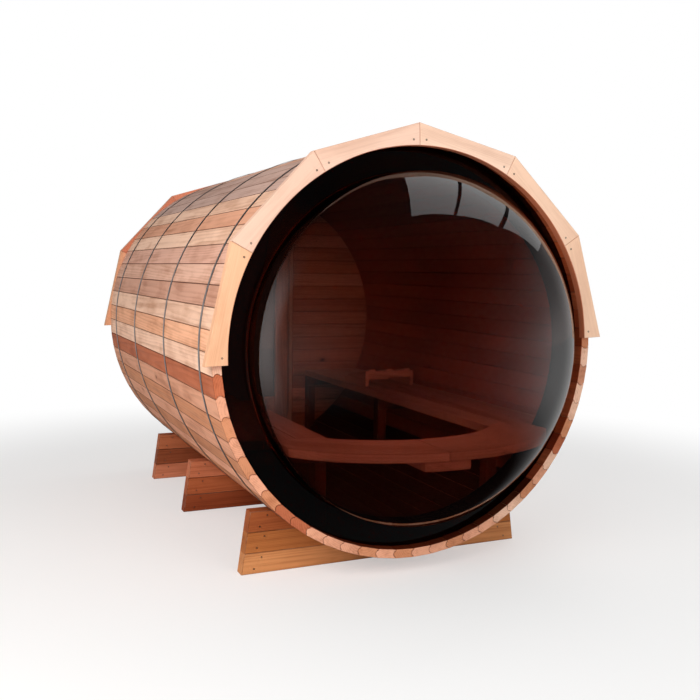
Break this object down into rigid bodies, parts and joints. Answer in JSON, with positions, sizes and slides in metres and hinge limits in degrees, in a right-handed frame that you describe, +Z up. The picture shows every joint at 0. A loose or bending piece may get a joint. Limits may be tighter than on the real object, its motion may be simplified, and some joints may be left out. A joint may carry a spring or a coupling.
{
  "type": "barrel sauna",
  "caption": "Cedar stave barrel sauna on timber cradles, with a domed bubble window at one end, mitred fascia boards, steel hoops, a glazed door and benches inside.",
  "frame": {"origin": "on the ground, under the middle of the bounding box", "axes": "+Y along the barrel from the window end to the door end, +Z up, +X to the right as seen from the window end"},
  "size_m": [1.9039, 2.989, 1.9465],
  "materials": {
    "cedar_staves": "planed, unfinished",
    "cedar_fascia": "planed, unfinished",
    "cedar_cradles": "planed, unfinished",
    "cedar_wall": "planed, unfinished",
    "cedar_benches": "planed, unfinished",
    "bronze_acrylic": "gloss, bronze tint",
    "bronze_glass": "gloss, bronze tint",
    "hoop_steel": "dull",
    "hinge_steel": "satin"
  },
  "bodies": {
    "root": {"floor_staves": "cedar_staves", "right_staves": "cedar_staves", "roof_staves": "cedar_staves", "left_staves": "cedar_staves", "front_fascia": "cedar_fascia", "rear_fascia": "cedar_fascia", "hoop_front": "hoop_steel", "hoop_second": "hoop_steel", "hoop_third": "hoop_steel", "hoop_rear": "hoop_steel", "front_cradle": "cedar_cradles", "middle_cradle": "cedar_cradles", "rear_cradle": "cedar_cradles", "bubble_window": "bronze_acrylic", "end_wall": "cedar_wall", "door_jambs": "cedar_wall", "door_casing": "cedar_fascia", "door_leaf": "cedar_wall", "door_pane": "bronze_glass", "door_hinges": "hinge_steel", "door_handles": "cedar_fascia", "left_bench": "cedar_benches", "right_bench": "cedar_benches", "window_bench": "cedar_benches", "window_bench_cleat": "cedar_benches", "bench_bearers": "cedar_benches", "bench_legs": "cedar_benches", "headrest_frame": "cedar_benches", "headrest_slats": "cedar_benches"}
  },
  "joints": []
}
